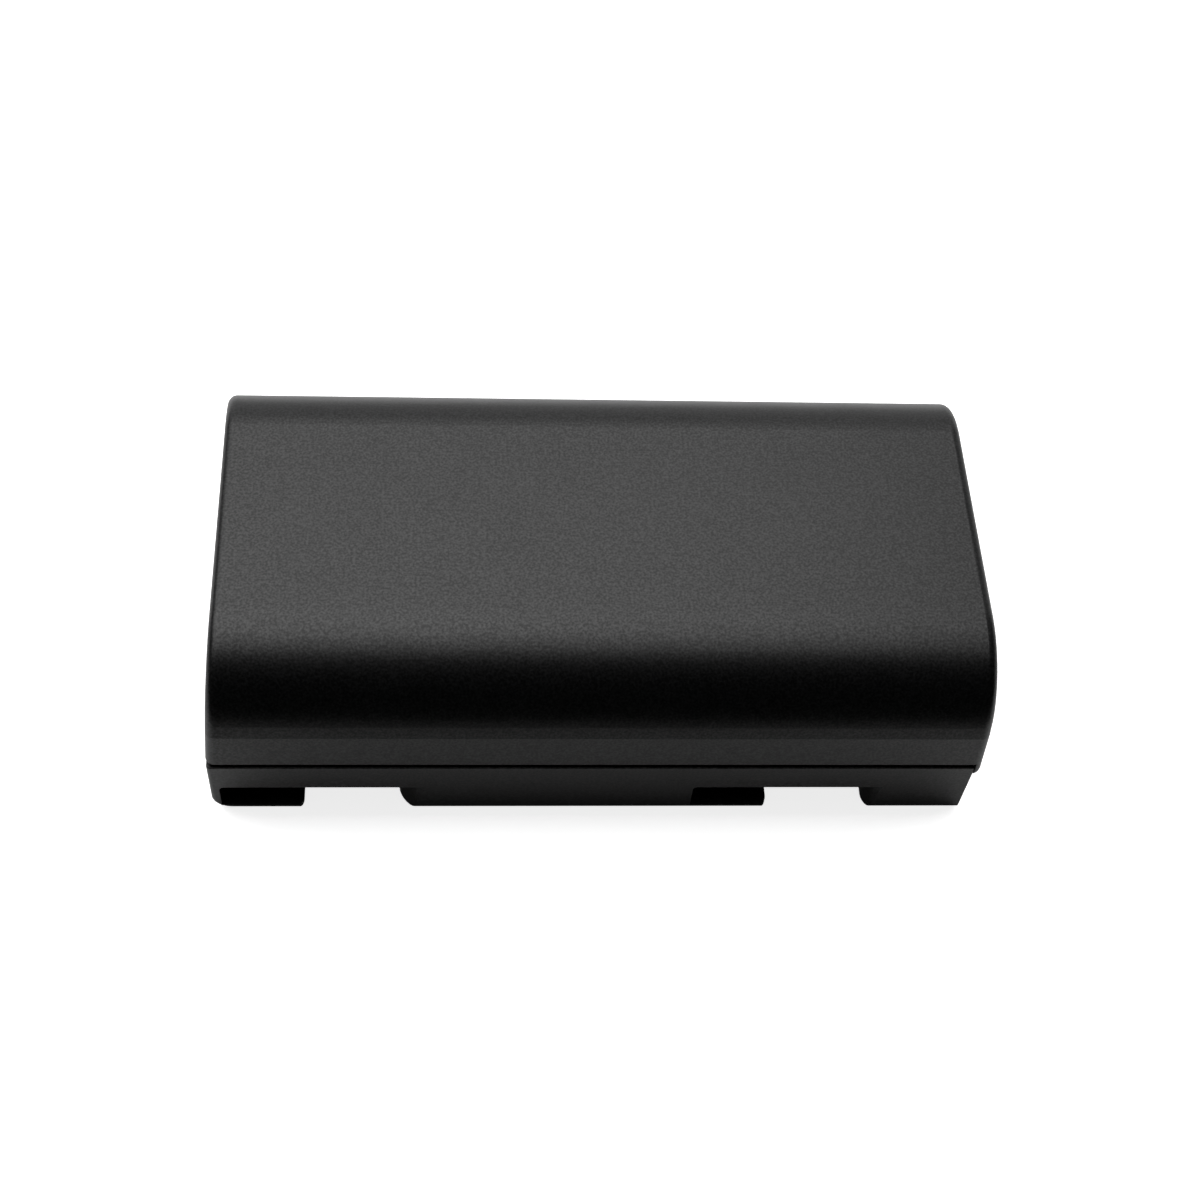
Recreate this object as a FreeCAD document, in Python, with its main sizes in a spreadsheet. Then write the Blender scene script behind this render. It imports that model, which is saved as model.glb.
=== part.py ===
import FreeCAD, Part
import os
import re
import Sketcher

# A two-cell slide-on battery pack in millimetres.
# The origin is in the middle of the underside, +X points to the terminal end and +Z is up.

# Driving dimensions
SIZES = {
    # Round cells, laid side by side in opposite directions
    "cell_diameter": 18.2,
    "cell_length": 65.0,
    "cell_gap": 0.04,
    "cell_edge": 0.8,
    "bead_setback": 3.2,
    "bead_width": 1.4,
    "bead_depth": 0.6,
    "cap_diameter": 7.5,
    "cap_height": 0.2,
    # Room round the cells
    "cell_clearance": 0.08,
    "cell_headroom": 0.25,
    "tape_seat": 0.35,
    "end_clearance": 0.05,
    # Upper case
    "case_wall": 0.72,
    "case_top": 0.8,
    "case_end_wall": 0.9,
    "side_draft": 2.2,
    "plain_end_draft": 3.75,
    "terminal_end_draft": 1.2,
    "shoulder_radius": 8.0,
    "shoulder_draft": 9.0,
    "shoulder_land": 1.4,
    "end_edge_radius": 0.9,
    "split_height": 8.3,
    "lip_drop": 1.9,
    "lip_radius": 0.8,
    "lip_gap": 0.05,
    "rim_edge_radius": 0.12,
    # Base
    "base_floor": 0.9,
    "base_wall": 0.85,
    "base_draft": 4.5,
    "base_end_draft": 0.5,
    "base_side_inset": 0.1,
    "base_end_inset": 0.02,
    "terminal_inset": 0.7,
    "groove_height": 0.65,
    "groove_depth": 0.35,
    "toe_radius": 1.8,
    "base_edge_radius": 0.4,
    "gusset_thickness": 1.0,
    "gusset_height": 6.0,
    "gusset_spacing": 14.0,
    # Hook slots along both lower edges
    "slot_height": 3.98,
    "slot_depth": 2.6,
    "slot_draft": 8.0,
    "slot_wall": 0.6,
    "slot_end_wall": 0.9,
    "first_catch_length": 7.52,
    "second_catch_length": 7.17,
    "first_entry_length": 8.73,
    "second_entry_length": 9.16,
    "last_block_length": 9.27,
    "flange_thickness": 0.6,
    "flange_nose_radius": 1.25,
    "slot_corner_radius": 0.5,
    "first_lead_in_radius": 2.9,
    "second_lead_in_radius": 1.8,
    # Insulation, strips, tapes and wire
    "ring_inset": 0.5,
    "ring_clearance": 0.6,
    "sheet_thickness": 0.15,
    "strip_thickness": 0.15,
    "strip_width": 6.0,
    "strip_tail": 4.0,
    "link_width": 8.0,
    "link_overhang": 4.0,
    "sheet_overhang": 6.0,
    "sheet_height": 14.0,
    "sheet_corner": 2.0,
    "tape_width": 8.0,
    "tape_length": 50.0,
    "tape_clearance": 0.02,
    "wire_diameter": 1.0,
    "wire_clearance": 0.03,
    "wire_hole_margin": 0.2,
    # Protection board and what is soldered to it
    "board_thickness": 0.8,
    "board_side_room": 3.2,
    "board_headroom": 3.4,
    "board_corner": 1.0,
    "board_rest_width": 2.0,
    "fold_height": 0.5,
    "fold_drop": 1.6,
    "parts_clearance": 0.3,
    "ic_length": 2.9,
    "ic_width": 1.6,
    "ic_height": 1.1,
    "transistor_length": 4.4,
    "transistor_width": 3.0,
    "fuse_length": 3.2,
    "fuse_width": 1.6,
    "chip_length": 1.6,
    "chip_width": 0.8,
    "chip_height": 0.5,
    "part_spacing": 3.6,
    # Terminal holder and spring contacts
    "contact_pitch": 1.8,
    "contact_gap": 0.7,
    "contact_thickness": 0.2,
    "contact_length": 4.0,
    "contact_slot_width": 1.0,
    "contact_clearance": 0.05,
    "holder_wall": 0.5,
    "holder_chamfer": 0.6,
    "holder_clearance": 0.2,
    "tail_width": 0.8,
    "tail_height": 3.0,
}

doc = FreeCAD.newDocument("battery_pack")
dims = doc.addObject("Spreadsheet::Sheet", "dims")
for row, (alias, value) in enumerate(SIZES.items(), start=1):
    dims.set(f"A{row}", alias)
    dims.set(f"B{row}", str(value))
    dims.setAlias(f"B{row}", alias)
doc.recompute()

# Places worked out from the driving dimensions, as formulas
CELL_RADIUS = "(cell_diameter / 2)"
CELL_Y = "((cell_diameter + cell_gap) / 2)"
CELL_Z = f"(base_floor + tape_seat + {CELL_RADIUS})"
CELL_TOP = f"({CELL_Z} + {CELL_RADIUS})"
INNER_TOP = f"({CELL_TOP} + cell_headroom)"
TOP_Z = f"({INNER_TOP} + case_top)"
SIDE_SLOPE = "tan(side_draft * 1 deg)"
SHOULDER_SLOPE = "tan(shoulder_draft * 1 deg)"
PLAIN_SLOPE = "tan(plain_end_draft * 1 deg)"
TERMINAL_SLOPE = "tan(terminal_end_draft * 1 deg)"
BASE_SLOPE = "tan(base_draft * 1 deg)"
BASE_END_SLOPE = "tan(base_end_draft * 1 deg)"
CAVITY_Y = f"({CELL_Y} + {CELL_RADIUS} + cell_clearance)"
HALF_WIDTH = f"({CAVITY_Y} + case_wall + {SIDE_SLOPE} * ({CELL_Z} - split_height))"
PLAIN_TAPER = f"({PLAIN_SLOPE} * ({CELL_TOP} - split_height))"
TERMINAL_TAPER = f"({TERMINAL_SLOPE} * ({CELL_TOP} - split_height))"
PLAIN_STACK = f"(case_end_wall + {PLAIN_TAPER} + end_clearance + sheet_thickness + strip_thickness)"
BOARD_STACK = "(strip_thickness + sheet_thickness + board_thickness)"
TERMINAL_STACK = f"({BOARD_STACK} + ic_height + parts_clearance + {TERMINAL_TAPER} + case_end_wall)"
HALF_LENGTH = f"(({PLAIN_STACK} + cell_length + {TERMINAL_STACK}) / 2)"
CELL_START = f"({PLAIN_STACK} - {HALF_LENGTH})"
CELL_END = f"({CELL_START} + cell_length)"
BOARD_BACK = f"({CELL_END} + strip_thickness + sheet_thickness)"
BOARD_FRONT = f"({BOARD_BACK} + board_thickness)"
BASE_START = f"(base_end_inset - {HALF_LENGTH})"
BASE_END = f"({HALF_LENGTH} - terminal_inset)"
BASE_TOP = "(split_height - groove_height)"
BASE_Y_TOP = f"({HALF_WIDTH} - base_side_inset)"
BASE_Y_BOTTOM = f"({BASE_Y_TOP} - {BASE_SLOPE} * {BASE_TOP})"
SLOT_Y = f"({BASE_Y_TOP} - slot_depth)"
SLOT_Y_BOTTOM = f"({SLOT_Y} - tan(slot_draft * 1 deg) * slot_height)"
SLOT_SIDE = f"({BASE_Y_BOTTOM} + {BASE_SLOPE} * (slot_height + slot_wall))"
FIRST_CATCH = f"({BASE_START} + slot_end_wall)"
FIRST_CATCH_END = f"({FIRST_CATCH} + first_catch_length)"
FIRST_ENTRY_END = f"({FIRST_CATCH_END} + first_entry_length)"
SECOND_ENTRY_END = f"({BASE_END} - last_block_length)"
SECOND_CATCH_END = f"({SECOND_ENTRY_END} - second_entry_length)"
SECOND_CATCH = f"({SECOND_CATCH_END} - second_catch_length)"
CONTACT_WIDTH = "(contact_gap + 2 * contact_thickness)"
HOLDER_SLOT = f"({CONTACT_WIDTH} + 2 * contact_clearance)"
HOLDER_Y = f"(1.5 * contact_pitch + {HOLDER_SLOT} / 2 + holder_wall)"
HOLDER_TOP_Y = f"({HOLDER_Y} - holder_chamfer)"
HOLDER_TOP = (
    f"({CELL_Z} - sqrt(({CELL_RADIUS} + holder_clearance) ^ 2 - ({CELL_Y} - {HOLDER_TOP_Y}) ^ 2))"
)
CONTACT_TOP = f"({HOLDER_TOP} - contact_clearance)"
CONTACT_START = f"({BOARD_FRONT} + contact_thickness - contact_length)"
HOLDER_START = f"({CONTACT_START} - contact_clearance - holder_wall)"
HOLDER_END = f"({BASE_END} - base_wall - contact_clearance)"
BOARD_BOTTOM = f"({HOLDER_TOP} + contact_clearance)"
BOARD_TOP = f"({INNER_TOP} - board_headroom)"
BOARD_Y = f"({CELL_Y} + {CELL_RADIUS} - board_side_room)"
BOARD_MIDDLE = f"(({BOARD_BOTTOM} + {BOARD_TOP}) / 2)"
WIRE_RADIUS = "(wire_diameter / 2)"
WIRE_Z = f"({CELL_Z} + sqrt(({CELL_RADIUS} + {WIRE_RADIUS} + wire_clearance) ^ 2 - {CELL_Y} ^ 2))"

CONTACT_COUNT = 4
CUTTER_MARGIN = 2.0
PLACE_TOLERANCE = 0.01


def formula(text):
    """Write each size in a formula as a cell of the sheet."""
    return re.sub(r"[a-z]+(_[a-z]+)+", r"dims.\g<0>", text)


def number(text):
    """Work a formula out now."""
    return float(dims.evalExpression(formula(text)))


def bind(item, **formulas):
    """Bind properties of an object to formulas."""
    for name, text in formulas.items():
        item.setExpression(name, formula(text))


def place(item, x="0", y="0", z="0"):
    """Bind an object's place to formulas."""
    for axis, text in zip("xyz", (x, y, z)):
        item.setExpression(f"Placement.Base.{axis}", formula(text))


def new_body(name):
    """Start a sub-part."""
    body = doc.addObject("PartDesign::Body", name)
    body.Label = name
    return body


def box(body, kind, name, x, y, z):
    """Add or cut a block between pairs of formulas along each axis."""
    block = body.newObject(f"PartDesign::{kind}Box", name)
    bind(block, Length=f"{x[1]} - {x[0]}", Width=f"{y[1]} - {y[0]}", Height=f"{z[1]} - {z[0]}")
    place(block, x[0], y[0], z[0])
    doc.recompute()
    return block


def drafted_block(body, kind, name, z, low, high):
    """Add or cut a block with drafted sides; low and high are (start x, end x, half width)."""
    wedge = body.newObject(f"PartDesign::{kind}Wedge", name)
    upright = FreeCAD.Rotation(FreeCAD.Vector(1, 0, 0), 90)
    wedge.Placement = FreeCAD.Placement(FreeCAD.Vector(), upright)
    bind(wedge, Ymin=z[0], Ymax=z[1])
    bind(wedge, Xmin=low[0], Xmax=low[1], Zmin=f"-{low[2]}", Zmax=low[2])
    bind(wedge, X2min=high[0], X2max=high[1], Z2min=f"-{high[2]}", Z2max=high[2])
    doc.recompute()
    return wedge


def along_x(body, kind, name, radius, start, end, y, z):
    """Add or cut a cylinder that lies along X."""
    cylinder = body.newObject(f"PartDesign::{kind}Cylinder", name)
    lying = FreeCAD.Rotation(FreeCAD.Vector(0, 1, 0), 90)
    cylinder.Placement = FreeCAD.Placement(FreeCAD.Vector(), lying)
    bind(cylinder, Radius=radius, Height=f"{end} - {start}")
    place(cylinder, start, y, z)
    doc.recompute()
    return cylinder


def outline(body, name, plane, points, offset="0"):
    """Sketch a closed outline of straight runs, offset from an origin plane; each point is two formulas."""
    sketch = body.newObject("Sketcher::SketchObject", name)
    support = next(item for item in body.Origin.OriginFeatures if item.Role == plane)
    sketch.AttachmentSupport = [(support, "")]
    sketch.MapMode = "FlatFace"
    sketch.setExpression("AttachmentOffset.Base.z", formula(offset))
    corners = [FreeCAD.Vector(number(u), number(v), 0) for u, v in points]
    count = len(points)
    for i in range(count):
        sketch.addGeometry(Part.LineSegment(corners[i], corners[(i + 1) % count]))
    for i in range(count):
        sketch.addConstraint(Sketcher.Constraint("Coincident", i, 2, (i + 1) % count, 1))
    for i, point in enumerate(points):
        for kind, axis, text, value in zip(("DistanceX", "DistanceY"), (-2, -1), point, corners[i]):
            if text == "0":
                sketch.addConstraint(Sketcher.Constraint("PointOnObject", i, 1, axis))
            else:
                index = sketch.addConstraint(Sketcher.Constraint(kind, -1, 1, i, 1, value))
                sketch.setExpression(f"Constraints[{index}]", formula(text))
    doc.recompute()
    return sketch


def pad(body, name, sketch, length):
    """Pad a sketch evenly to both sides of its plane."""
    feature = body.newObject("PartDesign::Pad", name)
    feature.Profile = sketch
    feature.Midplane = True
    bind(feature, Length=length)
    doc.recompute()
    return feature


def edges_where(feature, test):
    """Name the edges of a feature that pass a test on their bounding box."""
    return [f"Edge{i}" for i, edge in enumerate(feature.Shape.Edges, start=1) if test(edge.BoundBox)]


def fillet(body, name, feature, edges, radius):
    """Round named edges."""
    rounded = body.newObject("PartDesign::Fillet", name)
    rounded.Base = (feature, edges)
    bind(rounded, Radius=radius)
    doc.recompute()
    return rounded


def near(value, text):
    """Tell whether a coordinate lies at a formula's value."""
    return abs(value - number(text)) < PLACE_TOLERANCE


def cut(name, form, cutter):
    """Cut one form out of another."""
    result = doc.addObject("Part::Cut", name)
    result.Label = name
    result.Base = form
    result.Tool = cutter
    doc.recompute()
    return result


def plain_end(z, wall="0"):
    """Formula for the plain end wall's x at a height, or for its inner face behind a wall."""
    return f"({wall} - {HALF_LENGTH} + {PLAIN_SLOPE} * ({z} - split_height))"


def terminal_end(z, wall="0"):
    """Formula for the terminal end wall's x at a height, or for its inner face behind a wall."""
    return f"({HALF_LENGTH} - {wall} - {TERMINAL_SLOPE} * ({z} - split_height))"


def case_side(z):
    """Formula for the half width between the drafted sides at a height."""
    return f"({HALF_WIDTH} - {SIDE_SLOPE} * ({z} - split_height))"


def case_form():
    """Outer form of the upper case: drafted side bands, round shoulders and a lip at the terminal end."""
    body = new_body("case_form")
    lip_z = "(split_height - lip_drop)"
    shoulder_drop = "(shoulder_radius * (1 - sin(shoulder_draft * 1 deg)))"
    crease_z = f"({TOP_Z} - {shoulder_drop} - shoulder_land)"
    low_y = case_side(lip_z)
    crease_y = case_side(crease_z)
    top_y = f"({crease_y} - {SHOULDER_SLOPE} * ({TOP_Z} - {crease_z}))"
    section = [
        (f"-{low_y}", lip_z),
        (low_y, lip_z),
        (crease_y, crease_z),
        (top_y, TOP_Z),
        (f"-{top_y}", TOP_Z),
        (f"-{crease_y}", crease_z),
    ]
    sketch = outline(body, "case_section", "YZ_Plane", section)
    reach = f"({HALF_LENGTH} + {CUTTER_MARGIN})"
    pad(body, "case_block", sketch, f"2 * {reach}")
    low_z = f"({lip_z} - {CUTTER_MARGIN})"
    high_z = f"({TOP_Z} + {CUTTER_MARGIN})"
    beyond = f"({reach} + {CUTTER_MARGIN})"
    drafted_block(body, "Subtractive", "plain_end_trim", (low_z, high_z),
                  (f"-{beyond}", plain_end(low_z), reach), (f"-{beyond}", plain_end(high_z), reach))
    block = drafted_block(body, "Subtractive", "terminal_end_trim", (low_z, high_z),
                          (terminal_end(low_z), beyond, reach), (terminal_end(high_z), beyond, reach))

    def is_shoulder(bounds):
        return near(bounds.ZMin, TOP_Z) and bounds.XLength > bounds.YLength

    shoulders = fillet(body, "case_shoulders", block, edges_where(block, is_shoulder), "shoulder_radius")

    def is_end_edge(bounds):
        low, high = str(bounds.ZMin), str(bounds.ZMax)
        on_plain = near(bounds.XMin, plain_end(low)) and near(bounds.XMax, plain_end(high))
        on_terminal = near(bounds.XMax, terminal_end(low)) and near(bounds.XMin, terminal_end(high))
        return (on_plain or on_terminal) and not near(bounds.ZMax, lip_z)

    ends = fillet(body, "case_ends", shoulders, edges_where(shoulders, is_end_edge), "end_edge_radius")

    def is_lip_edge(bounds):
        return near(bounds.ZMax, lip_z) and bounds.XMin > 0 and bounds.YLength > bounds.XLength

    fillet(body, "case_lip", ends, edges_where(ends, is_lip_edge), "lip_radius")
    rim_cut = box(body, "Subtractive", "rim_cut",
                  (f"-{beyond}", f"({BASE_END} + lip_gap)"),
                  (f"-{reach}", reach),
                  (low_z, "split_height"))

    def is_rim_edge(bounds):
        return near(bounds.ZMax, "split_height") and bounds.XMin < number(BASE_END)

    fillet(body, "case_rim", rim_cut, edges_where(rim_cut, is_rim_edge), "rim_edge_radius")
    return body


def case_core():
    """Cavity of the upper case, with shoulders that follow the outer ones."""
    body = new_body("case_core")
    open_z = f"(split_height - {CUTTER_MARGIN})"
    block = drafted_block(
        body, "Additive", "core_block", (open_z, INNER_TOP),
        (plain_end(open_z, "case_end_wall"), terminal_end(open_z, "case_end_wall"),
         f"({case_side(open_z)} - case_wall)"),
        (plain_end(INNER_TOP, "case_end_wall"), terminal_end(INNER_TOP, "case_end_wall"),
         f"({case_side(INNER_TOP)} - case_wall)"))

    def is_shoulder(bounds):
        return near(bounds.ZMin, INNER_TOP) and bounds.XLength > bounds.YLength

    fillet(body, "core_shoulders", block, edges_where(block, is_shoulder), "shoulder_radius - case_wall")
    return body


def upper_case():
    """Moulded shell: the outer form with its cavity cut."""
    return cut("upper_case", case_form(), case_core())


def hook_slots(name, catch_start, catch_end, entry_end, lead_in_radius):
    """Cutter for a pair of hook slots, one on each long side: an entry open downwards beside a closed catch."""
    body = new_body(name)
    body.AllowCompound = True
    reach = f"({HALF_WIDTH} + {CUTTER_MARGIN})"
    wide_start = f"({catch_end} - 2 * flange_nose_radius)"
    wide_end = f"({entry_end} + 2 * {lead_in_radius})"
    points = [
        (wide_start, f"-{reach}"),
        (wide_end, f"-{reach}"),
        (wide_end, f"-{SLOT_SIDE}"),
        (entry_end, f"-{SLOT_SIDE}"),
        (entry_end, SLOT_SIDE),
        (wide_end, SLOT_SIDE),
        (wide_end, reach),
        (wide_start, reach),
        (wide_start, SLOT_SIDE),
        (catch_end, SLOT_SIDE),
        (catch_end, f"-{SLOT_SIDE}"),
        (wide_start, f"-{SLOT_SIDE}"),
    ]
    foot = f"-{CUTTER_MARGIN}"
    sketch = outline(body, f"{name}_outline", "XY_Plane", points, f"((slot_height + {foot}) / 2)")
    entry = pad(body, f"{name}_entry", sketch, f"(slot_height - {foot})")

    def is_corner(x):
        return lambda bounds: (near(bounds.XMin, x) and near(bounds.XMax, x)
                               and near(abs(bounds.YMin), SLOT_SIDE) and near(abs(bounds.YMax), SLOT_SIDE)
                               and bounds.ZLength > bounds.YLength)

    lead_in = fillet(body, f"{name}_lead_in", entry, edges_where(entry, is_corner(entry_end)), lead_in_radius)
    fillet(body, f"{name}_nose", lead_in, edges_where(lead_in, is_corner(catch_end)), "flange_nose_radius")
    catch = box(body, "Additive", f"{name}_catch", (catch_start, catch_end), (f"-{reach}", reach),
                ("flange_thickness", "slot_height"))

    def is_catch_edge(bounds):
        return near(bounds.XMax, catch_start) and near(bounds.ZMin, "slot_height")

    fillet(body, f"{name}_corner", catch, edges_where(catch, is_catch_edge), "slot_corner_radius")
    core_start = f"({catch_start} - {CUTTER_MARGIN})"
    core_end = f"({wide_end} + {CUTTER_MARGIN})"
    box(body, "Subtractive", f"{name}_foot_core", (core_start, core_end), (f"-{SLOT_Y_BOTTOM}", SLOT_Y_BOTTOM),
        (f"2 * {foot}", "0"))
    drafted_block(body, "Subtractive", f"{name}_core", ("0", "slot_height"),
                  (core_start, core_end, SLOT_Y_BOTTOM), (core_start, core_end, SLOT_Y))
    return body


def base_tray():
    """Moulded tray before its hook slots: drafted walls, joint ridge, slot walls, cradles, contact slots."""
    body = new_body("base_tray")
    end_lean = f"({BASE_END_SLOPE} * {BASE_TOP})"
    block = drafted_block(
        body, "Additive", "tray_block", ("0", BASE_TOP),
        (f"({BASE_START} + {end_lean})", f"({BASE_END} - {end_lean})", BASE_Y_BOTTOM),
        (BASE_START, BASE_END, BASE_Y_TOP))

    def is_toe(bounds):
        return near(bounds.ZMax, "0") and bounds.XMax < 0

    toe = fillet(body, "tray_toe", block, edges_where(block, is_toe), "toe_radius")

    def is_rim_edge(bounds):
        return near(bounds.ZMin, BASE_TOP)

    def is_outer_edge(bounds):
        beside_toe = bounds.XMax < 0 and bounds.YLength > number(BASE_Y_BOTTOM)
        at_lip = bounds.XMin > 0 and bounds.ZLength > number("base_edge_radius")
        return not is_rim_edge(bounds) and not beside_toe and not at_lip

    edges = fillet(body, "tray_edges", toe, edges_where(toe, is_outer_edge), "base_edge_radius")
    fillet(body, "tray_rim", edges, edges_where(edges, is_rim_edge), "rim_edge_radius")
    ridge_y = f"({BASE_Y_TOP} - groove_depth)"
    box(body, "Additive", "joint_ridge",
        (f"({BASE_START} + groove_depth)", f"({BASE_END} - lip_gap)"),
        (f"-{ridge_y}", ridge_y),
        (BASE_TOP, "split_height"))
    inner_start = f"({BASE_START} + base_wall)"
    inner_end = f"({BASE_END} - base_wall)"
    floor_y = f"({BASE_Y_BOTTOM} + {BASE_SLOPE} * base_floor - base_wall)"
    drafted_block(
        body, "Subtractive", "tray_cavity", ("base_floor", "split_height"),
        (inner_start, inner_end, floor_y),
        (inner_start, inner_end, CAVITY_Y))
    slot_spans = {
        "first": (inner_start, f"({FIRST_ENTRY_END} + first_lead_in_radius)"),
        "second": (f"({SECOND_CATCH} - slot_wall)", f"({SECOND_ENTRY_END} + second_lead_in_radius)"),
    }
    side_spans = {
        "front": (f"-{BASE_Y_BOTTOM}", f"(slot_wall - {SLOT_Y_BOTTOM})"),
        "rear": (f"({SLOT_Y_BOTTOM} - slot_wall)", BASE_Y_BOTTOM),
    }
    in_floor = "(base_floor / 2)"
    for slot, span in slot_spans.items():
        for side, depth in side_spans.items():
            box(body, "Additive", f"{slot}_{side}_slot_wall", span, depth,
                (in_floor, "(slot_height + slot_wall)"))
    middle = f"(({FIRST_ENTRY_END} + {SECOND_CATCH}) / 2)"
    for name, side in (("plain", "-"), ("terminal", "+")):
        gusset_x = f"({middle} {side} gusset_spacing / 2)"
        box(body, "Additive", f"{name}_gusset",
            (f"({gusset_x} - gusset_thickness / 2)", f"({gusset_x} + gusset_thickness / 2)"),
            (f"-{floor_y}", floor_y),
            (in_floor, "gusset_height"))
    for name, side in (("front", "-"), ("rear", "+")):
        cell_y = f"({side}{CELL_Y})"
        channel = "(tape_width / 2 + ring_inset)"
        box(body, "Subtractive", f"{name}_tape_channel",
            (f"({middle} - gusset_spacing)", f"({middle} + gusset_spacing)"),
            (f"({cell_y} - {channel})", f"({cell_y} + {channel})"),
            ("base_floor", f"(gusset_height + {CUTTER_MARGIN})"))
        along_x(body, "Subtractive", f"{name}_cradle", f"({CELL_RADIUS} + cell_clearance)",
                inner_start, f"({CELL_END} + strip_thickness)", cell_y, CELL_Z)
        rest_y = f"({side}({BOARD_Y} - board_rest_width))"
        box(body, "Additive", f"{name}_board_rest",
            (BOARD_BACK, BOARD_FRONT),
            (f"({rest_y} - board_rest_width / 2)", f"({rest_y} + board_rest_width / 2)"),
            (in_floor, BOARD_BOTTOM))
    for index in range(CONTACT_COUNT):
        contact_y = contact_place(index)
        box(body, "Subtractive", f"contact_slot_{index + 1}",
            (CONTACT_START, f"({BASE_END} + {CUTTER_MARGIN})"),
            (f"({contact_y} - contact_slot_width / 2)", f"({contact_y} + contact_slot_width / 2)"),
            (f"-{CUTTER_MARGIN}", f"({CONTACT_TOP} - contact_thickness)"))
    return body


def base_case():
    """Moulded tray with its four hook slots cut."""
    first = hook_slots("first_hook_slots", FIRST_CATCH, FIRST_CATCH_END, FIRST_ENTRY_END,
                       "first_lead_in_radius")
    second = hook_slots("second_hook_slots", SECOND_CATCH, SECOND_CATCH_END, SECOND_ENTRY_END,
                        "second_lead_in_radius")
    return cut("base_case", cut("half_cut_tray", base_tray(), first), second)


def cell(name, start, side, turn):
    """Sealed round cell: can with a rolled bead below its flat positive cap, made as one revolved solid."""
    body = new_body(name)
    shoulder = "(cell_length - cap_height)"
    bead_end = f"({shoulder} - bead_setback)"
    bead_start = f"({bead_end} - bead_width)"
    bead_radius = f"({CELL_RADIUS} - bead_depth)"
    end_radius = f"({CELL_RADIUS} - cell_edge)"
    points = [
        ("0", "0"),
        ("0", end_radius),
        ("cell_edge", CELL_RADIUS),
        (bead_start, CELL_RADIUS),
        (f"({bead_start} + bead_width / 3)", bead_radius),
        (f"({bead_end} - bead_width / 3)", bead_radius),
        (bead_end, CELL_RADIUS),
        (f"({shoulder} - cell_edge)", CELL_RADIUS),
        (shoulder, end_radius),
        (shoulder, "cap_diameter / 2"),
        ("cell_length", "cap_diameter / 2"),
        ("cell_length", "0"),
    ]
    sketch = outline(body, f"{name}_outline", "XZ_Plane", points)
    turned = body.newObject("PartDesign::Revolution", f"{name}_can")
    turned.Profile = sketch
    turned.ReferenceAxis = (sketch, ["H_Axis"])
    turned.Angle = 360
    body.Placement = FreeCAD.Placement(FreeCAD.Vector(), FreeCAD.Rotation(FreeCAD.Vector(0, 0, 1), turn))
    place(body, start, f"({side}{CELL_Y})", CELL_Z)
    doc.recompute()
    return body


def insulator_ring(name, start, side):
    """Paper ring round a cell's positive cap."""
    body = new_body(name)
    cell_y = f"({side}{CELL_Y})"
    end = f"({start} + cap_height)"
    along_x(body, "Additive", f"{name}_disc", f"({CELL_RADIUS} - cell_edge - ring_inset)",
            start, end, cell_y, CELL_Z)
    along_x(body, "Subtractive", f"{name}_hole", "(cap_diameter / 2 + ring_clearance)",
            start, end, cell_y, CELL_Z)
    return body


def cell_tape(name, side):
    """Double-sided foam tape between a cell and the floor."""
    body = new_body(name)
    middle = f"(({CELL_START} + {CELL_END}) / 2)"
    cell_y = f"({side}{CELL_Y})"
    box(body, "Additive", f"{name}_strip",
        (f"({middle} - tape_length / 2)", f"({middle} + tape_length / 2)"),
        (f"({cell_y} - tape_width / 2)", f"({cell_y} + tape_width / 2)"),
        ("base_floor", "(base_floor + tape_seat - tape_clearance)"))
    return body


def flat_sheet(name, start, thickness, half_width, bottom, top, corner):
    """Flat piece that stands across the pack, with cropped corners."""
    body = new_body(name)
    points = [
        (f"({corner} - {half_width})", bottom),
        (f"({half_width} - {corner})", bottom),
        (half_width, f"({bottom} + {corner})"),
        (half_width, f"({top} - {corner})"),
        (f"({half_width} - {corner})", top),
        (f"({corner} - {half_width})", top),
        (f"-{half_width}", f"({top} - {corner})"),
        (f"-{half_width}", f"({bottom} + {corner})"),
    ]
    middle = f"({start} + {thickness} / 2)"
    sketch = outline(body, f"{name}_outline", "YZ_Plane", points, middle)
    pad(body, f"{name}_sheet", sketch, thickness)
    return body


def board_insulator():
    """Paper sheet behind the board, with a hole for the midpoint wire."""
    start = f"({CELL_END} + strip_thickness)"
    body = flat_sheet("board_insulator", start, "sheet_thickness", BOARD_Y, BOARD_BOTTOM, BOARD_TOP,
                      "board_corner")
    along_x(body, "Subtractive", "wire_hole", f"({WIRE_RADIUS} + wire_hole_margin)",
            f"({start} - {CUTTER_MARGIN})", f"({BOARD_BACK} + {CUTTER_MARGIN})", "0", WIRE_Z)
    return body


def folded_strip(name, side):
    """Nickel strip welded to a cell and folded over the board's top edge to its front."""
    body = new_body(name)
    cell_face = f"({CELL_END} + strip_thickness)"
    board_face = f"({BOARD_FRONT} + strip_thickness)"
    low = f"({CELL_Z} - strip_tail)"
    fold = f"({BOARD_TOP} + fold_height)"
    fold_top = f"({fold} + strip_thickness)"
    solder_end = f"({BOARD_TOP} - fold_drop)"
    points = [
        (CELL_END, low),
        (cell_face, low),
        (cell_face, fold),
        (BOARD_FRONT, fold),
        (BOARD_FRONT, solder_end),
        (board_face, solder_end),
        (board_face, fold_top),
        (CELL_END, fold_top),
    ]
    sketch = outline(body, f"{name}_outline", "XZ_Plane", points)
    pad(body, f"{name}_strip", sketch, "strip_width")
    place(body, y=f"({side}{CELL_Y})")
    doc.recompute()
    return body


def midpoint_wire():
    """Insulated wire in the valley between the cells, from the series link to the board."""
    body = new_body("midpoint_wire")
    along_x(body, "Additive", "wire_run", WIRE_RADIUS, CELL_START, BOARD_BACK, "0", WIRE_Z)
    return body


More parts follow.
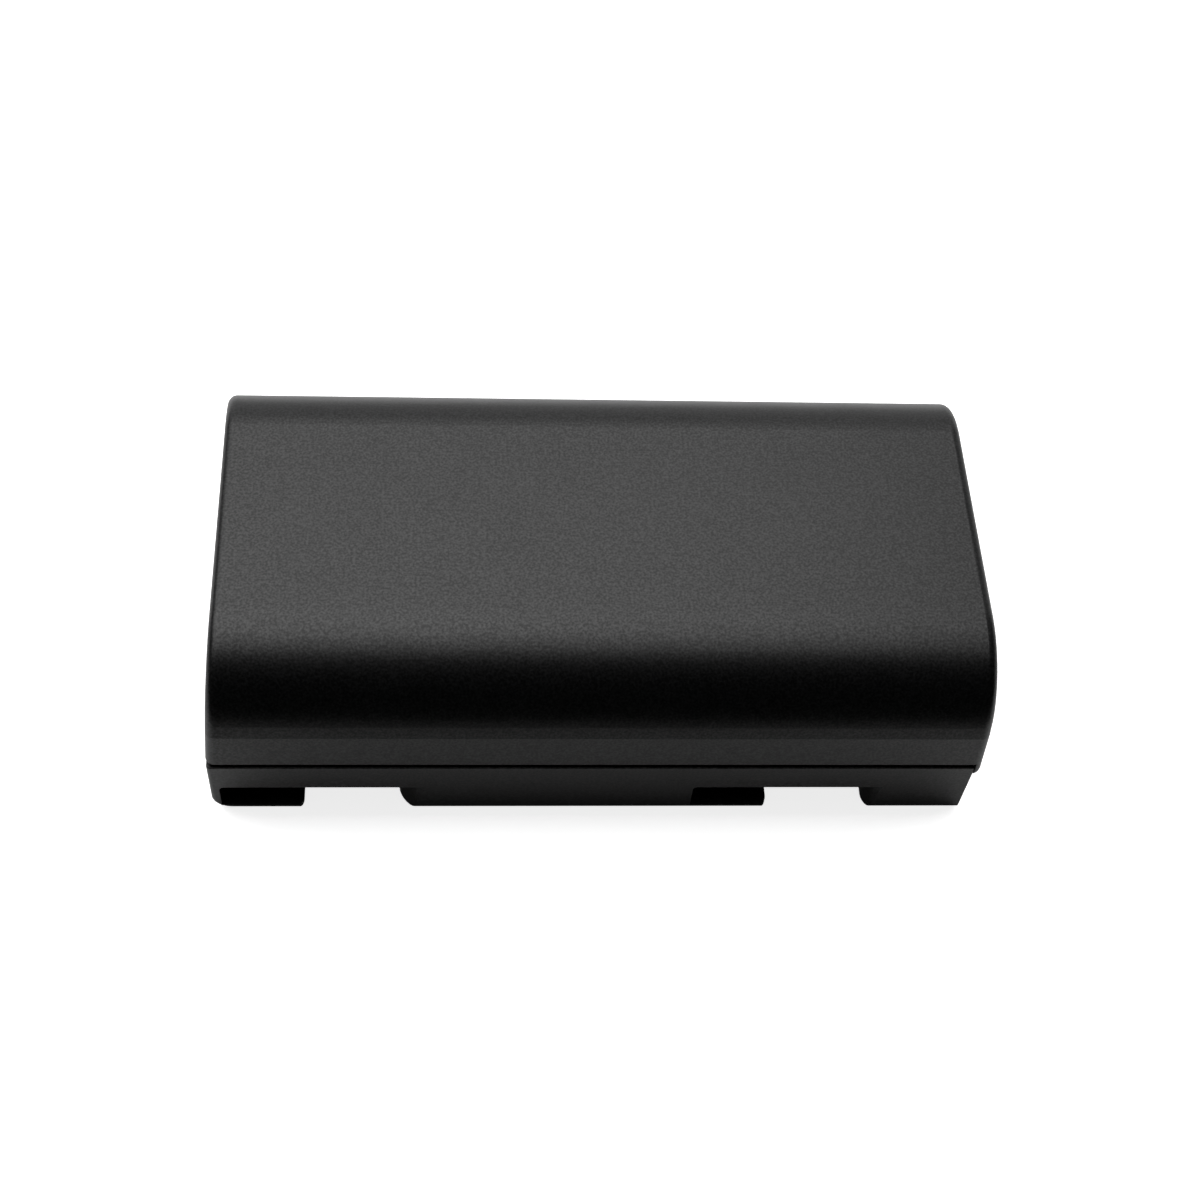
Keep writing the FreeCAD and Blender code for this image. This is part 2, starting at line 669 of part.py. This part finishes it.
def soldered_part(name, y, z, length, width, height):
    """Package soldered to the front of the board."""
    part = doc.addObject("Part::Box", name)
    part.Label = name
    bind(part, Length=height, Width=length, Height=width)
    place(part, BOARD_FRONT, f"({y} - {length} / 2)", f"({z} - {width} / 2)")
    doc.recompute()
    return part


def chip_row(name, z, steps):
    """Row of like chips, kept together as one group."""
    chips = []
    for step in steps:
        chips.append(soldered_part(f"{name}_{len(chips) + 1}", f"({step} * part_spacing)", z,
                                   "chip_length", "chip_width", "chip_height"))
    group = doc.addObject("Part::Compound", name)
    group.Label = name
    group.Links = chips
    doc.recompute()
    return group


def contact_place(index):
    """Formula for a contact's place across the pack."""
    return f"({index - (CONTACT_COUNT - 1) / 2} * contact_pitch)"


def terminal_holder():
    """Moulded comb that holds the contacts; its cropped top tucks into the valley between the cells."""
    body = new_body("terminal_holder")
    shoulder = f"({HOLDER_TOP} - holder_chamfer)"
    points = [
        (f"-{HOLDER_Y}", "base_floor"),
        (HOLDER_Y, "base_floor"),
        (HOLDER_Y, shoulder),
        (HOLDER_TOP_Y, HOLDER_TOP),
        (f"-{HOLDER_TOP_Y}", HOLDER_TOP),
        (f"-{HOLDER_Y}", shoulder),
    ]
    middle = f"(({HOLDER_START} + {HOLDER_END}) / 2)"
    sketch = outline(body, "holder_outline", "YZ_Plane", points, middle)
    pad(body, "holder_block", sketch, f"({HOLDER_END} - {HOLDER_START})")
    for index in range(CONTACT_COUNT):
        contact_y = contact_place(index)
        box(body, "Subtractive", f"holder_slot_{index + 1}",
            (f"({CONTACT_START} - contact_clearance)", f"({HOLDER_END} + {CUTTER_MARGIN})"),
            (f"({contact_y} - {HOLDER_SLOT} / 2)", f"({contact_y} + {HOLDER_SLOT} / 2)"),
            (f"(base_floor - {CUTTER_MARGIN})", f"({HOLDER_TOP} + {CUTTER_MARGIN})"))
    return body


def contact(name, index):
    """Formed spring contact: a channel that grips a blade from above, and a tail soldered to the board."""
    body = new_body(name)
    bottom = "(base_floor + contact_clearance)"
    ceiling = f"({CONTACT_TOP} - contact_thickness)"
    outer = f"({CONTACT_WIDTH} / 2)"
    inner = "(contact_gap / 2)"
    channel = [
        (f"-{outer}", bottom),
        (f"-{inner}", bottom),
        (f"-{inner}", ceiling),
        (inner, ceiling),
        (inner, bottom),
        (outer, bottom),
        (outer, CONTACT_TOP),
        (f"-{outer}", CONTACT_TOP),
    ]
    middle = f"({CONTACT_START} + contact_length / 2)"
    sketch = outline(body, f"{name}_section", "YZ_Plane", channel, middle)
    pad(body, f"{name}_channel", sketch, "contact_length")
    tail_face = f"({BOARD_FRONT} + contact_thickness)"
    box(body, "Additive", f"{name}_tail",
        (BOARD_FRONT, tail_face),
        ("(0 - tail_width / 2)", "(tail_width / 2)"),
        (ceiling, f"({CONTACT_TOP} + tail_height)"))
    place(body, y=contact_place(index))
    doc.recompute()
    return body


link_start = f"({CELL_START} - strip_thickness)"
chip_low = f"({BOARD_MIDDLE} - part_spacing / 2)"
part_row = f"({BOARD_MIDDLE} + part_spacing / 4)"
nodes = [
    upper_case(),
    base_case(),
    cell("cell_front", CELL_START, "-", 0),
    cell("cell_rear", CELL_END, "+", 180),
    insulator_ring("insulator_ring_front", f"({CELL_END} - cap_height)", "-"),
    insulator_ring("insulator_ring_rear", CELL_START, "+"),
    cell_tape("cell_tape_front", "-"),
    cell_tape("cell_tape_rear", "+"),
    flat_sheet("series_link", link_start, "strip_thickness", f"({CELL_Y} + link_overhang)",
               f"({CELL_Z} - link_width / 2)", f"({CELL_Z} + link_width / 2)", "board_corner"),
    flat_sheet("end_insulator", f"({link_start} - sheet_thickness)", "sheet_thickness",
               f"({CELL_Y} + sheet_overhang)", f"({CELL_Z} - sheet_height / 2)",
               f"({CELL_Z} + sheet_height / 2)", "sheet_corner"),
    folded_strip("positive_strip", "-"),
    folded_strip("negative_strip", "+"),
    midpoint_wire(),
    board_insulator(),
    flat_sheet("protection_board", BOARD_BACK, "board_thickness", BOARD_Y, BOARD_BOTTOM, BOARD_TOP,
               "board_corner"),
    soldered_part("protection_ic", "(-1.5 * part_spacing)", part_row, "ic_length", "ic_width", "ic_height"),
    soldered_part("switch_transistor", "0", part_row, "transistor_length", "transistor_width", "ic_height"),
    soldered_part("board_fuse", "(1.5 * part_spacing)", part_row, "fuse_length", "fuse_width", "chip_height"),
    soldered_part("thermistor", "(3 * part_spacing)", part_row, "chip_length", "chip_width", "chip_height"),
    chip_row("chip_resistors", chip_low, (-3, -2)),
    chip_row("chip_capacitors", chip_low, (2, 3)),
    terminal_holder(),
]
for index, name in enumerate(("contact_positive", "contact_sense", "contact_data", "contact_negative")):
    nodes.append(contact(name, index))

doc.recompute()
for item in doc.Objects:
    if "Invalid" in item.State or "Error" in item.State:
        raise RuntimeError(f"{item.Name} failed: {item.State}")
for node in nodes:
    if node.Shape.isNull() or not node.Shape.isValid():
        raise RuntimeError(f"{node.Label} has no valid shape")
os.makedirs("parts", exist_ok=True)
for node in nodes:
    node.Shape.exportStep(f"parts/{node.Label}.step")
    print(node.Label, len(node.Shape.Solids), round(node.Shape.Volume, 2), node.Shape.BoundBox)
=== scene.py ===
import math

import bpy
from mathutils import Euler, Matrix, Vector


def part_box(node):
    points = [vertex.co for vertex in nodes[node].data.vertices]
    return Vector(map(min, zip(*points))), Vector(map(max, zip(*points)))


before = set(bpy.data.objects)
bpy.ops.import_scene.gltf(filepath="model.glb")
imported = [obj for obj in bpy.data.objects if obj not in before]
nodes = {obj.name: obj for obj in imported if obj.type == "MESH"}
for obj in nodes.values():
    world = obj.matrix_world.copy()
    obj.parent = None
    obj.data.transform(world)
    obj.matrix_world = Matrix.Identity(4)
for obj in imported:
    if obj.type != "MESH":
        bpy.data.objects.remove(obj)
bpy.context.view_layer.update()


# Base case: the lower half of the housing, with the hook slots, the cells' cradles and the contact slots.
# It is injection moulded in black ABS/PC, and the tool's spark-eroded walls leave a fine even grain on it,
# which spreads reflections and hides flow marks.
GRAIN_MM = 0.22
GRAIN_DEPTH_MM = 0.006
MOTTLE_MM = 5.0
ABS_IOR = 1.45
ABS_TINT = ((0.35, "#020202"), (0.7, "#0b0b0c"))
ABS_SHEEN = ((0.35, "#c4c4c4"), (0.7, "#ffffff"))


def linear(text):
    """An sRGB hex colour as linear red, green, blue and alpha."""
    parts = [int(text[i:i + 2], 16) / 255 for i in (1, 3, 5)]
    return [p / 12.92 if p <= 0.04045 else ((p + 0.055) / 1.055) ** 2.4 for p in parts] + [1.0]


def metres(millimetres):
    """A length for Blender, whose objects are in metres."""
    return millimetres / 1000


def per_mm(size):
    """A texture's scale for a pattern of that size in millimetres."""
    return 1000.0 / size


def add_node(owner, kind, settings=None, numbered=None, **named):
    """Add a shader node with its settings, among them a colour ramp's stops as (position, hex colour).

    An input, by number or by name, is a value, an output, or a node whose first output is taken.
    """
    tree = owner.node_tree
    node = tree.nodes.new(kind)
    for name, value in (settings or {}).items():
        if name == "stops":
            for stop, (position, colour) in zip(node.color_ramp.elements, value):
                stop.position = position
                stop.color = linear(colour)
        else:
            setattr(node, name, value)
    inputs = dict(numbered or {})
    inputs.update((name.replace("_", " "), value) for name, value in named.items())
    for key, value in inputs.items():
        source = value.outputs[0] if isinstance(value, bpy.types.Node) else value
        if isinstance(source, bpy.types.NodeSocket):
            tree.links.new(source, node.inputs[key])
        else:
            node.inputs[key].default_value = source
    return node


def new_material(name):
    """An empty node material, and the object's own coordinates for its patterns."""
    material = bpy.data.materials.new(name)
    material.use_nodes = True
    material.node_tree.nodes.clear()
    place = add_node(material, "ShaderNodeTexCoord").outputs["Object"]
    return material, place


def finish_material(material, shader):
    """Join a shader to the material's output."""
    add_node(material, "ShaderNodeOutputMaterial", Surface=shader)
    return material


def dress(name, material):
    """Give a CAD node its material."""
    for slot in nodes[name].material_slots:
        slot.material = material


def spark_eroded_abs():
    """Black ABS/PC from a spark-eroded tool: a grey sheen broken up by fine pits, no clear reflections."""
    material, place = new_material("spark_eroded_black_abs")
    mottle = add_node(material, "ShaderNodeTexNoise", Vector=place, Scale=per_mm(MOTTLE_MM), Detail=2.0)
    grain = add_node(material, "ShaderNodeTexNoise", Vector=place, Scale=per_mm(GRAIN_MM), Detail=1.0,
                     Roughness=0.5)
    tint = add_node(material, "ShaderNodeValToRGB", {"stops": ABS_TINT}, Fac=grain)
    sheen = add_node(material, "ShaderNodeValToRGB", {"stops": ABS_SHEEN}, Fac=grain)
    gloss = add_node(material, "ShaderNodeMapRange", Value=mottle, To_Min=0.34, To_Max=0.38)
    pits = add_node(material, "ShaderNodeBump", Height=grain, Strength=1.0, Distance=metres(GRAIN_DEPTH_MM))
    plastic = add_node(material, "ShaderNodeBsdfPrincipled", Base_Color=tint, Roughness=gloss, Normal=pits,
                       IOR=ABS_IOR, Specular_Tint=sheen)
    return finish_material(material, plastic)


case_plastic = spark_eroded_abs()
dress("base_case", case_plastic)


# Cell tapes: strips of white double-sided foam tape stuck to the floor, one under each cell.
# The open cut face of the foam shows its cells, so it is dull and slightly pitted.
FOAM_CELL_MM = 0.2
FOAM_DENT_MM = 0.03
FOAM_TINT = ((0.1, "#c9c8c0"), (0.6, "#efeee8"))


def acrylic_foam():
    """White closed-cell acrylic foam: matt, with small dark pores."""
    material, place = new_material("white_acrylic_foam")
    pores = add_node(material, "ShaderNodeTexVoronoi", Vector=place, Scale=per_mm(FOAM_CELL_MM))
    tint = add_node(material, "ShaderNodeValToRGB", {"stops": FOAM_TINT}, Fac=pores)
    dents = add_node(material, "ShaderNodeBump", Height=pores, Strength=0.5, Distance=metres(FOAM_DENT_MM))
    foam = add_node(material, "ShaderNodeBsdfPrincipled", Base_Color=tint, Roughness=0.85, Normal=dents)
    return finish_material(material, foam)


foam_tape = acrylic_foam()
for tape in ("cell_tape_front", "cell_tape_rear"):
    dress(tape, foam_tape)


# Cells: two round lithium cells laid side by side in opposite directions, each a deep-drawn steel can.
# A thin plastic sleeve is shrunk over the can, and the nickel-plated ends stay bare for the welds.
RIPPLE_MM = 2.5
SWELL_MM = 0.1
PLATING_MM = 0.4
BARE_END_MM = 0.25
SLEEVE_TINT = ((0.3, "#2f6f59"), (0.7, "#357a63"))
PLATING_TINT = ((0.3, "#a8a49c"), (0.7, "#c2beb5"))


def shrunk_sleeve(low, high):
    """Glossy green shrink sleeve with faint ripples along the can, and satin nickel on the two end faces."""
    material, place = new_material("shrunk_green_sleeve")
    middle = (low.x + high.x) / 2
    reach = (high.x - low.x) / 2 - metres(BARE_END_MM)
    along = add_node(material, "ShaderNodeSeparateXYZ", Vector=place).outputs["X"]
    offset = add_node(material, "ShaderNodeMath", {"operation": "SUBTRACT"}, {0: along, 1: middle})
    away = add_node(material, "ShaderNodeMath", {"operation": "ABSOLUTE"}, {0: offset})
    bare = add_node(material, "ShaderNodeMath", {"operation": "GREATER_THAN"}, {0: away, 1: reach})
    ripple = add_node(material, "ShaderNodeTexNoise", Vector=place, Scale=per_mm(RIPPLE_MM), Detail=2.0)
    plating = add_node(material, "ShaderNodeTexNoise", Vector=place, Scale=per_mm(PLATING_MM), Detail=3.0)
    sleeve = add_node(material, "ShaderNodeValToRGB", {"stops": SLEEVE_TINT}, Fac=ripple)
    nickel = add_node(material, "ShaderNodeValToRGB", {"stops": PLATING_TINT}, Fac=plating)
    tint = add_node(material, "ShaderNodeMix", {"data_type": "RGBA"}, Factor=bare, A=sleeve, B=nickel)
    gloss = add_node(material, "ShaderNodeMapRange", Value=plating, To_Min=0.25, To_Max=0.38)
    swell = add_node(material, "ShaderNodeBump", Height=ripple, Strength=0.3, Distance=metres(SWELL_MM))
    skin = add_node(material, "ShaderNodeBsdfPrincipled", Base_Color=tint.outputs["Result"], Metallic=bare,
                    Roughness=gloss, Normal=swell)
    return finish_material(material, skin)


cell_skin = shrunk_sleeve(*[Vector(corner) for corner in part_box("cell_front")])
for cell in ("cell_front", "cell_rear"):
    dress(cell, cell_skin)


# Insulating paper: punched rings round the positive caps, and sheets at the plain end and behind the board.
# It is pressed from cotton fibre, and it keeps the can's rim, the strips and the board apart.
FIBRE_MM = 0.5
FIBRE_STRETCH = (1.0, 0.35, 1.0)
FIBRE_NAP_MM = 0.03
PAPER_TINT = ((0.3, "#a9ad96"), (0.7, "#c6c9b5"))


def fish_paper():
    """Grey-green pressed fibre paper: matt, with a cloudy tone and short fibres."""
    material, place = new_material("pressed_fish_paper")
    stretch = add_node(material, "ShaderNodeMapping", Vector=place, Scale=FIBRE_STRETCH)
    fibre = add_node(material, "ShaderNodeTexNoise", Vector=stretch, Scale=per_mm(FIBRE_MM), Detail=4.0,
                     Roughness=0.65)
    tint = add_node(material, "ShaderNodeValToRGB", {"stops": PAPER_TINT}, Fac=fibre)
    nap = add_node(material, "ShaderNodeBump", Height=fibre, Strength=0.4, Distance=metres(FIBRE_NAP_MM))
    paper = add_node(material, "ShaderNodeBsdfPrincipled", Base_Color=tint, Roughness=0.8, Normal=nap)
    return finish_material(material, paper)


insulating_paper = fish_paper()
for insulator in ("insulator_ring_front", "insulator_ring_rear", "end_insulator", "board_insulator"):
    dress(insulator, insulating_paper)


# Nickel strips: the series link at the plain end, and two strips folded over the board's top edge.
# They are slit from cold-rolled nickel and spot-welded to the cells, so fine rolling lines run along them.
ROLLING_MM = 0.12
ROLLING_STRETCH = (1.0, 1.0, 0.05)
STRIP_TINT = ((0.3, "#b3aea4"), (0.7, "#cbc6bc"))


def rolled_nickel():
    """Cold-rolled nickel: satin metal with fine lines from the rolls."""
    material, place = new_material("cold_rolled_nickel")
    stretch = add_node(material, "ShaderNodeMapping", Vector=place, Scale=ROLLING_STRETCH)
    lines = add_node(material, "ShaderNodeTexNoise", Vector=stretch, Scale=per_mm(ROLLING_MM), Detail=2.0)
    tint = add_node(material, "ShaderNodeValToRGB", {"stops": STRIP_TINT}, Fac=lines)
    gloss = add_node(material, "ShaderNodeMapRange", Value=lines, To_Min=0.22, To_Max=0.40)
    nickel = add_node(material, "ShaderNodeBsdfPrincipled", Base_Color=tint, Metallic=1.0, Roughness=gloss)
    return finish_material(material, nickel)


nickel_strip = rolled_nickel()
for strip in ("series_link", "positive_strip", "negative_strip"):
    dress(strip, nickel_strip)


# Midpoint wire: a stranded lead in the valley between the cells, from the series link to the board.
# Its insulation is extruded silicone rubber, soft and dusted with talc.
TALC_MM = 0.6
RUBBER_TINT = ((0.3, "#dcd8cc"), (0.7, "#efece3"))


def silicone_rubber():
    """White extruded silicone: dull, with a cloudy film of talc."""
    material, place = new_material("white_silicone_rubber")
    talc = add_node(material, "ShaderNodeTexNoise", Vector=place, Scale=per_mm(TALC_MM), Detail=3.0)
    tint = add_node(material, "ShaderNodeValToRGB", {"stops": RUBBER_TINT}, Fac=talc)
    gloss = add_node(material, "ShaderNodeMapRange", Value=talc, To_Min=0.5, To_Max=0.7)
    rubber = add_node(material, "ShaderNodeBsdfPrincipled", Base_Color=tint, Roughness=gloss)
    return finish_material(material, rubber)


dress("midpoint_wire", silicone_rubber())


# Protection board: a glass-epoxy laminate that stands on the base's rests behind the terminal end.
# Green solder mask covers both faces, and the routed edge shows the tan laminate.
WEAVE_MM = 0.5
MASK_LOW = "#0f4a26"
MASK_HIGH = "#14542c"
BOARD_EDGE = "#8f8352"


def solder_mask_board():
    """Green solder mask over woven glass: glossy faces with a faint weave, and a dull tan edge."""
    material, place = new_material("solder_mask_on_glass_epoxy")
    weave = add_node(material, "ShaderNodeTexChecker", Vector=place, Scale=per_mm(WEAVE_MM),
                     Color1=linear(MASK_LOW), Color2=linear(MASK_HIGH))
    normal = add_node(material, "ShaderNodeNewGeometry").outputs["Normal"]
    facing = add_node(material, "ShaderNodeSeparateXYZ", Vector=normal)
    face = add_node(material, "ShaderNodeMath", {"operation": "ABSOLUTE"}, {0: facing.outputs["X"]})
    tint = add_node(material, "ShaderNodeMix", {"data_type": "RGBA"}, Factor=face, A=linear(BOARD_EDGE),
                    B=weave)
    gloss = add_node(material, "ShaderNodeMapRange", Value=face, To_Min=0.75, To_Max=0.3)
    board = add_node(material, "ShaderNodeBsdfPrincipled", Base_Color=tint.outputs["Result"], Roughness=gloss)
    return finish_material(material, board)


dress("protection_board", solder_mask_board())


# Soldered parts: the protection chip and its switch transistor, a fuse, a thermistor and the small chips.
# They are placed by machine and reflow soldered to the front of the board.
FILLER_MM = 0.08
CERAMIC_MM = 0.15
PART_DENT_MM = 0.01


def mottled_part(name, size, low, high, roughness):
    """A small part with a fine mottled surface."""
    material, place = new_material(name)
    mottle = add_node(material, "ShaderNodeTexNoise", Vector=place, Scale=per_mm(size), Detail=2.0)
    tint = add_node(material, "ShaderNodeValToRGB", {"stops": ((0.3, low), (0.7, high))}, Fac=mottle)
    dents = add_node(material, "ShaderNodeBump", Height=mottle, Strength=0.4, Distance=metres(PART_DENT_MM))
    body = add_node(material, "ShaderNodeBsdfPrincipled", Base_Color=tint, Roughness=roughness, Normal=dents)
    return finish_material(material, body)


package_epoxy = mottled_part("moulded_silica_epoxy", FILLER_MM, "#161617", "#242425", roughness=0.6)
chip_ceramic = mottled_part("fired_tan_ceramic", CERAMIC_MM, "#a08562", "#b8a07c", roughness=0.45)
chip_film = mottled_part("glazed_resistor_film", CERAMIC_MM, "#141418", "#202026", roughness=0.3)
for package in ("protection_ic", "switch_transistor"):
    dress(package, package_epoxy)
for chip in ("board_fuse", "thermistor", "chip_capacitors"):
    dress(chip, chip_ceramic)
dress("chip_resistors", chip_film)


# Terminal holder: a small moulded comb that stands on the floor and keeps the four contacts at their spacing.
# Glass-filled nylon, so its surface is dark and slightly cloudy where fibres lie near the skin.
NYLON_MM = 0.3
holder_nylon = mottled_part("glass_filled_black_nylon", NYLON_MM, "#0d0d0e", "#1b1b1c", roughness=0.55)
dress("terminal_holder", holder_nylon)


# Contacts: four formed spring channels that grip the device's blades through the slots in the end wall.
# They are stamped from phosphor bronze, folded, and plated with gold over nickel.
STAMPING_MM = 0.1
STAMPING_STRETCH = (0.1, 1.0, 1.0)
GOLD_TINT = ((0.3, "#d9a94e"), (0.7, "#e8c06a"))


def gold_plating():
    """Thin bright gold on rolled bronze: warm metal with faint lines from the strip."""
    material, place = new_material("gold_plated_bronze")
    stretch = add_node(material, "ShaderNodeMapping", Vector=place, Scale=STAMPING_STRETCH)
    lines = add_node(material, "ShaderNodeTexNoise", Vector=stretch, Scale=per_mm(STAMPING_MM), Detail=2.0)
    tint = add_node(material, "ShaderNodeValToRGB", {"stops": GOLD_TINT}, Fac=lines)
    gloss = add_node(material, "ShaderNodeMapRange", Value=lines, To_Min=0.2, To_Max=0.34)
    gold = add_node(material, "ShaderNodeBsdfPrincipled", Base_Color=tint, Metallic=1.0, Roughness=gloss)
    return finish_material(material, gold)


contact_plating = gold_plating()
for contact in ("contact_positive", "contact_sense", "contact_data", "contact_negative"):
    dress(contact, contact_plating)


# Upper case: the long rounded shell, moulded in the same plastic and welded to the base along the groove.
# It closes the pack, and a lip at the terminal end hangs over the base's end wall.
dress("upper_case", case_plastic)


# Studio table and card: a wide white laminate table, and a black felt card that leans away before the pack.
# The card shows only in reflections and keeps the shoulder black. The table is white to the eye, keeps the
# pack's soft shadow and has painted shade well under the pack, so no white floor shows through the contact
# slots.
TABLE_SIDE = 8.0
TABLE_WHITE = 0.8
TABLE_SHEEN = 0.01
# The painted shade under the pack stops this far, in metres, inside the base's box in x and y.
PAINTED_SHADE_INSET = Vector((0.0010, 0.0037))
CARD_WIDTH = 2.4
CARD_FOOT = Vector((0.0, -0.0355, 0.0))
CARD_TOP = Vector((0.0, -0.23, 0.62))


def white_laminate():
    """White matt laminate: white to the eye but for its shadows, with painted shade where the pack covers it.
    """
    material, _ = new_material("white_laminate")
    ray = add_node(material, "ShaderNodeLightPath").outputs
    seen = add_node(material, "ShaderNodeMath", {"operation": "MAXIMUM"},
                    {0: ray["Is Camera Ray"], 1: ray["Is Transmission Ray"]})
    position = add_node(material, "ShaderNodeNewGeometry").outputs["Position"]
    spot = add_node(material, "ShaderNodeSeparateXYZ", Vector=position).outputs
    # Painted shade: the table's white glow is cut off inside the pack's footprint, less the inset.
    past_painted_shade_edge = []
    for axis, half in zip("XY", Vector(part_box("base_case")[1]).xy - PAINTED_SHADE_INSET):
        away = add_node(material, "ShaderNodeMath", {"operation": "ABSOLUTE"}, {0: spot[axis]})
        past_painted_shade_edge.append(add_node(material, "ShaderNodeMath", {"operation": "GREATER_THAN"}, {0: away, 1: half}))
    outside_painted_shade = add_node(material, "ShaderNodeMath", {"operation": "MAXIMUM"}, {0: past_painted_shade_edge[0], 1: past_painted_shade_edge[1]})
    shown = add_node(material, "ShaderNodeMath", {"operation": "MULTIPLY"}, {0: seen, 1: outside_painted_shade})
    white = add_node(material, "ShaderNodeMath", {"operation": "MULTIPLY"}, {0: shown, 1: TABLE_WHITE})
    glow = add_node(material, "ShaderNodeMath", {"operation": "MULTIPLY_ADD"},
                    {0: ray["Is Glossy Ray"], 1: TABLE_SHEEN, 2: white})
    laminate = add_node(material, "ShaderNodeBsdfPrincipled", Base_Color=linear("#e6e6e6"), Roughness=0.9,
                        Emission_Color=linear("#ffffff"), Emission_Strength=glow, Specular_IOR_Level=0.0)
    return finish_material(material, laminate)


def black_felt():
    """Black felt that reflects almost nothing."""
    material, _ = new_material("black_felt")
    felt = add_node(material, "ShaderNodeBsdfDiffuse", Color=linear("#020202"))
    return finish_material(material, felt)


def studio_sheet(name, size_x, size_y, material):
    """A flat studio sheet centred on the origin."""
    bpy.ops.mesh.primitive_plane_add(size=1.0)
    panel = bpy.context.active_object
    panel.name = name
    panel.scale = (size_x, size_y, 1.0)
    panel.data.materials.append(material)
    return panel


studio_sheet("table", TABLE_SIDE, TABLE_SIDE, white_laminate())

card_rise = CARD_TOP - CARD_FOOT
card = studio_sheet("black_card", CARD_WIDTH, card_rise.length, black_felt())
card.location = (CARD_FOOT + CARD_TOP) / 2
card.rotation_euler = Euler((math.atan2(card_rise.z, card_rise.y), 0.0, 0.0))
card.visible_camera = False
card.visible_diffuse = False
card.visible_shadow = False
card.visible_transmission = False


# Studio lights: a large softbox above and behind the pack, and a strip that draws the bright rear rim.
# The overhead panel shows only as a reflection in the front rounding, and the two side lights reach the table
# but don't show in the plastic. The world is white to the eye and fills the shadows faintly.
WORLD_FILL = 0.09
WORLD_WHITE = 1.0


def soft_light(name, place, aim, size, watts):
    """A rectangular soft light turned to a point."""
    lamp = bpy.data.lights.new(name, "AREA")
    lamp.shape = "RECTANGLE"
    lamp.size, lamp.size_y = size
    lamp.energy = watts
    light = bpy.data.objects.new(name, lamp)
    bpy.context.scene.collection.objects.link(light)
    light.location = place
    light.rotation_euler = (Vector(aim) - Vector(place)).to_track_quat("-Z", "Y").to_euler()
    light.visible_camera = False
    return light


soft_light("rear_softbox", place=(-0.36, 0.352, 0.837), aim=(-0.36, 0.0, 0.01), size=(1.3, 0.80), watts=12.0)
overhead = soft_light("overhead_panel", place=(-0.36, -0.15, 0.893), aim=(-0.36, 0.0, 0.01), size=(1.3, 0.34),
                      watts=3.0)
overhead.visible_diffuse = False
soft_light("rear_strip", place=(0.3, 0.9, 0.36), aim=(0.3, 0.0, 0.02), size=(2.2, 0.58), watts=2.8)
for side, across, watts in (("left", -0.8, 2.0), ("right", 0.8, 4.5)):
    floor_light = soft_light(f"{side}_floor_light", place=(across, 0.46, 0.40), aim=(0.0, 0.0, 0.02),
                             size=(0.7, 0.7), watts=watts)
    floor_light.visible_glossy = False

world = bpy.data.worlds.new("studio")
bpy.context.scene.world = world
world.use_nodes = True
world.node_tree.nodes.clear()
world_ray = add_node(world, "ShaderNodeLightPath").outputs
world_seen = add_node(world, "ShaderNodeMath", {"operation": "MAXIMUM"},
                      {0: world_ray["Is Camera Ray"], 1: world_ray["Is Transmission Ray"]})
world_level = add_node(world, "ShaderNodeMapRange", Value=world_seen, To_Min=WORLD_FILL, To_Max=WORLD_WHITE)
backdrop = add_node(world, "ShaderNodeBackground", Color=linear("#ffffff"), Strength=world_level)
add_node(world, "ShaderNodeOutputWorld", Surface=backdrop)


# Camera: above the front of the pack and a little left of its middle, turned as the photo's outline asks.
# Its place is in metres and its turn in degrees.
LENS_MM = 65.6
SENSOR_MM = 36.0
NEAR_CLIP = 0.005
CAMERA_PLACE = (-0.014704, -0.126282, 0.174380)
CAMERA_TURN = (37.2339, -3.5950, -2.3114)
lens = bpy.data.cameras.new("camera")
lens.lens = LENS_MM
lens.sensor_width = SENSOR_MM
lens.clip_start = NEAR_CLIP
camera = bpy.data.objects.new("camera", lens)
bpy.context.scene.collection.objects.link(camera)
camera.location = CAMERA_PLACE
camera.rotation_euler = Euler([math.radians(angle) for angle in CAMERA_TURN])
bpy.context.scene.camera = camera
bpy.context.scene.view_settings.view_transform = "Standard"
